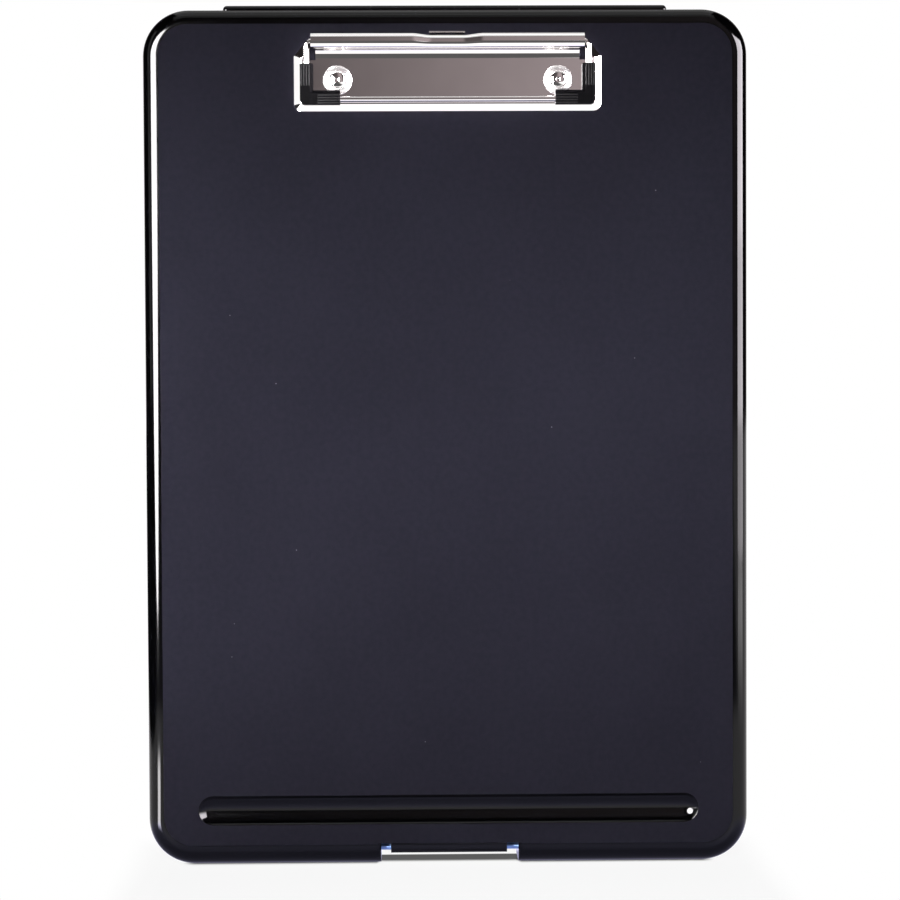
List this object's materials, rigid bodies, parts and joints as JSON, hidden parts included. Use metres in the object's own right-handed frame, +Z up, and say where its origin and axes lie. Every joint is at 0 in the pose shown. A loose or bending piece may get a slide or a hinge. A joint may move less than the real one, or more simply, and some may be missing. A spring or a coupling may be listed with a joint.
{
  "type": "storage clipboard box",
  "caption": "Upright storage clipboard: a shallow lid hinged on a deeper tray, with a low wire clip, a pen groove and a fold-down latch.",
  "frame": {"origin": "on the surface it stands on, below the middle of the bounding box", "axes": "+Z up along the box's height, hinge at the top; -Y is the side with the clip and pen groove; +X to the right as seen from that side"},
  "size_m": [0.237, 0.0328, 0.3381],
  "materials": {
    "black_shell": "glossy rim and sides, finely grained writing panel",
    "clip_chrome": "bright plating",
    "pin_steel": "plain drawn steel",
    "grip_rubber": "matte with raised ribs"
  },
  "bodies": {
    "base": {"base_tray": "black_shell", "hinge_rod": "pin_steel", "latch_axle": "pin_steel"},
    "lid": {"lid_shell": "black_shell", "clip_plate": "clip_chrome", "rivet_left": "clip_chrome", "rivet_right": "clip_chrome", "rivet_ring_left": "clip_chrome", "rivet_ring_right": "clip_chrome", "rivet_washer_left": "pin_steel", "rivet_washer_right": "pin_steel"},
    "bail": {"bail_wire": "clip_chrome", "grip_left": "grip_rubber", "grip_right": "grip_rubber"},
    "latch": {"latch": "black_shell"}
  },
  "joints": [
    {"name": "lid_hinge", "type": "hinge", "parent": "base", "child": "lid", "pos_m": [0, -0.00108, 0.33625], "axis": [-1, 0, 0], "range_deg": [0, 180]},
    {"name": "latch_hinge", "type": "hinge", "parent": "base", "child": "latch", "pos_m": [0, 0.00143, 0.00485], "axis": [1, 0, 0], "range_deg": [0, 90]},
    {"name": "bail_hinge", "type": "hinge", "parent": "lid", "child": "bail", "pos_m": [0.0008, -0.01367, 0.3228], "axis": [-1, 0, 0], "range_deg": [0, 90], "stiffness_Nm_per_rad": 0.03, "springref_deg": -34.38}
  ]
}
